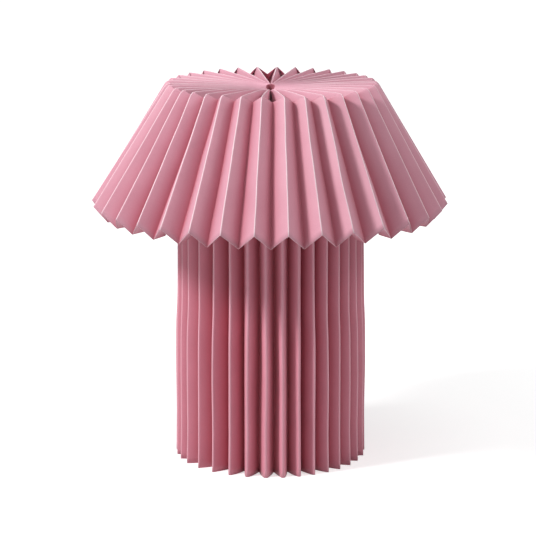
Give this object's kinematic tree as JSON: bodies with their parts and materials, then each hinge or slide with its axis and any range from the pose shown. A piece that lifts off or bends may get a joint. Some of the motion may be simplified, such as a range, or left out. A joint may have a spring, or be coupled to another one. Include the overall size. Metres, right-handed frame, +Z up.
{
  "type": "table lamp",
  "caption": "Cordless table lamp: a wide pleated paper shade closed by a flat pleated top, on a pleated paper column over a weighted base with an upright opal light.",
  "frame": {"origin": "on the lamp's axis, at the table top that the column's hem and the feet stand on", "axes": "+Z up along the lamp's axis; +Y to the rear, where the charging socket and the switch are; -Y is the side in the picture"},
  "size_m": [0.355, 0.3534, 0.3776],
  "materials": {
    "pleated_paper": "matt, dusty pink card stock, scored and folded",
    "card": "plain grey-brown card",
    "plywood": "unfinished birch plywood, sanded",
    "white_moulding": "fine satin texture",
    "rubber": "matt",
    "zinc_steel": "zinc plated",
    "cell_wrap": "shrink wrap",
    "board_green": "solder-mask green",
    "socket_metal": "drawn nickel-plated shell",
    "button_plastic": "polished",
    "black_plastic": "moulded",
    "lead_rubber": "smooth jacket",
    "aluminium": "extruded, clear anodised",
    "strip_white": "white solder mask",
    "phosphor": "yellow phosphor over each chip",
    "opal": "opal, light-spreading"
  },
  "bodies": {
    "root": {"base_tray": "white_moulding", "base_cover": "white_moulding", "rubber_feet": "rubber", "cover_screws": "zinc_steel", "ballast_plate": "zinc_steel", "cell_cradle": "black_plastic", "battery_cells": "cell_wrap", "cell_contacts": "socket_metal", "control_board": "board_green", "board_screws": "zinc_steel", "usb_socket": "socket_metal", "switch_body": "black_plastic", "lead_plugs": "strip_white", "battery_lead": "lead_rubber", "post_lead": "lead_rubber", "light_collar": "white_moulding", "collar_screws": "zinc_steel", "light_post": "aluminium", "led_strips": "strip_white", "led_chips": "phosphor", "post_terminal": "strip_white", "diffuser_tube": "opal", "diffuser_cap": "opal"},
    "button": {"power_button": "button_plastic", "switch_plunger": "black_plastic"},
    "column": {"column_pleats": "pleated_paper", "column_top_ring": "plywood", "column_foot_ring": "plywood"},
    "shade": {"shade_rosette": "pleated_paper", "shade_skirt": "pleated_paper", "shade_spigot": "card", "hub_disc": "card"}
  },
  "joints": [
    {"name": "column_lift", "type": "slide", "parent": "root", "child": "column", "axis": [0, 0, 1], "range_m": [0, 0.36]},
    {"name": "shade_lift", "type": "slide", "parent": "column", "child": "shade", "axis": [0, 0, 1], "range_m": [0, 0.14]},
    {"name": "power_button_press", "type": "slide", "parent": "root", "child": "button", "axis": [0, -1, 0], "range_m": [0, 0.0012], "stiffness_N_per_m": 1200, "springref_m": -0.0008}
  ]
}
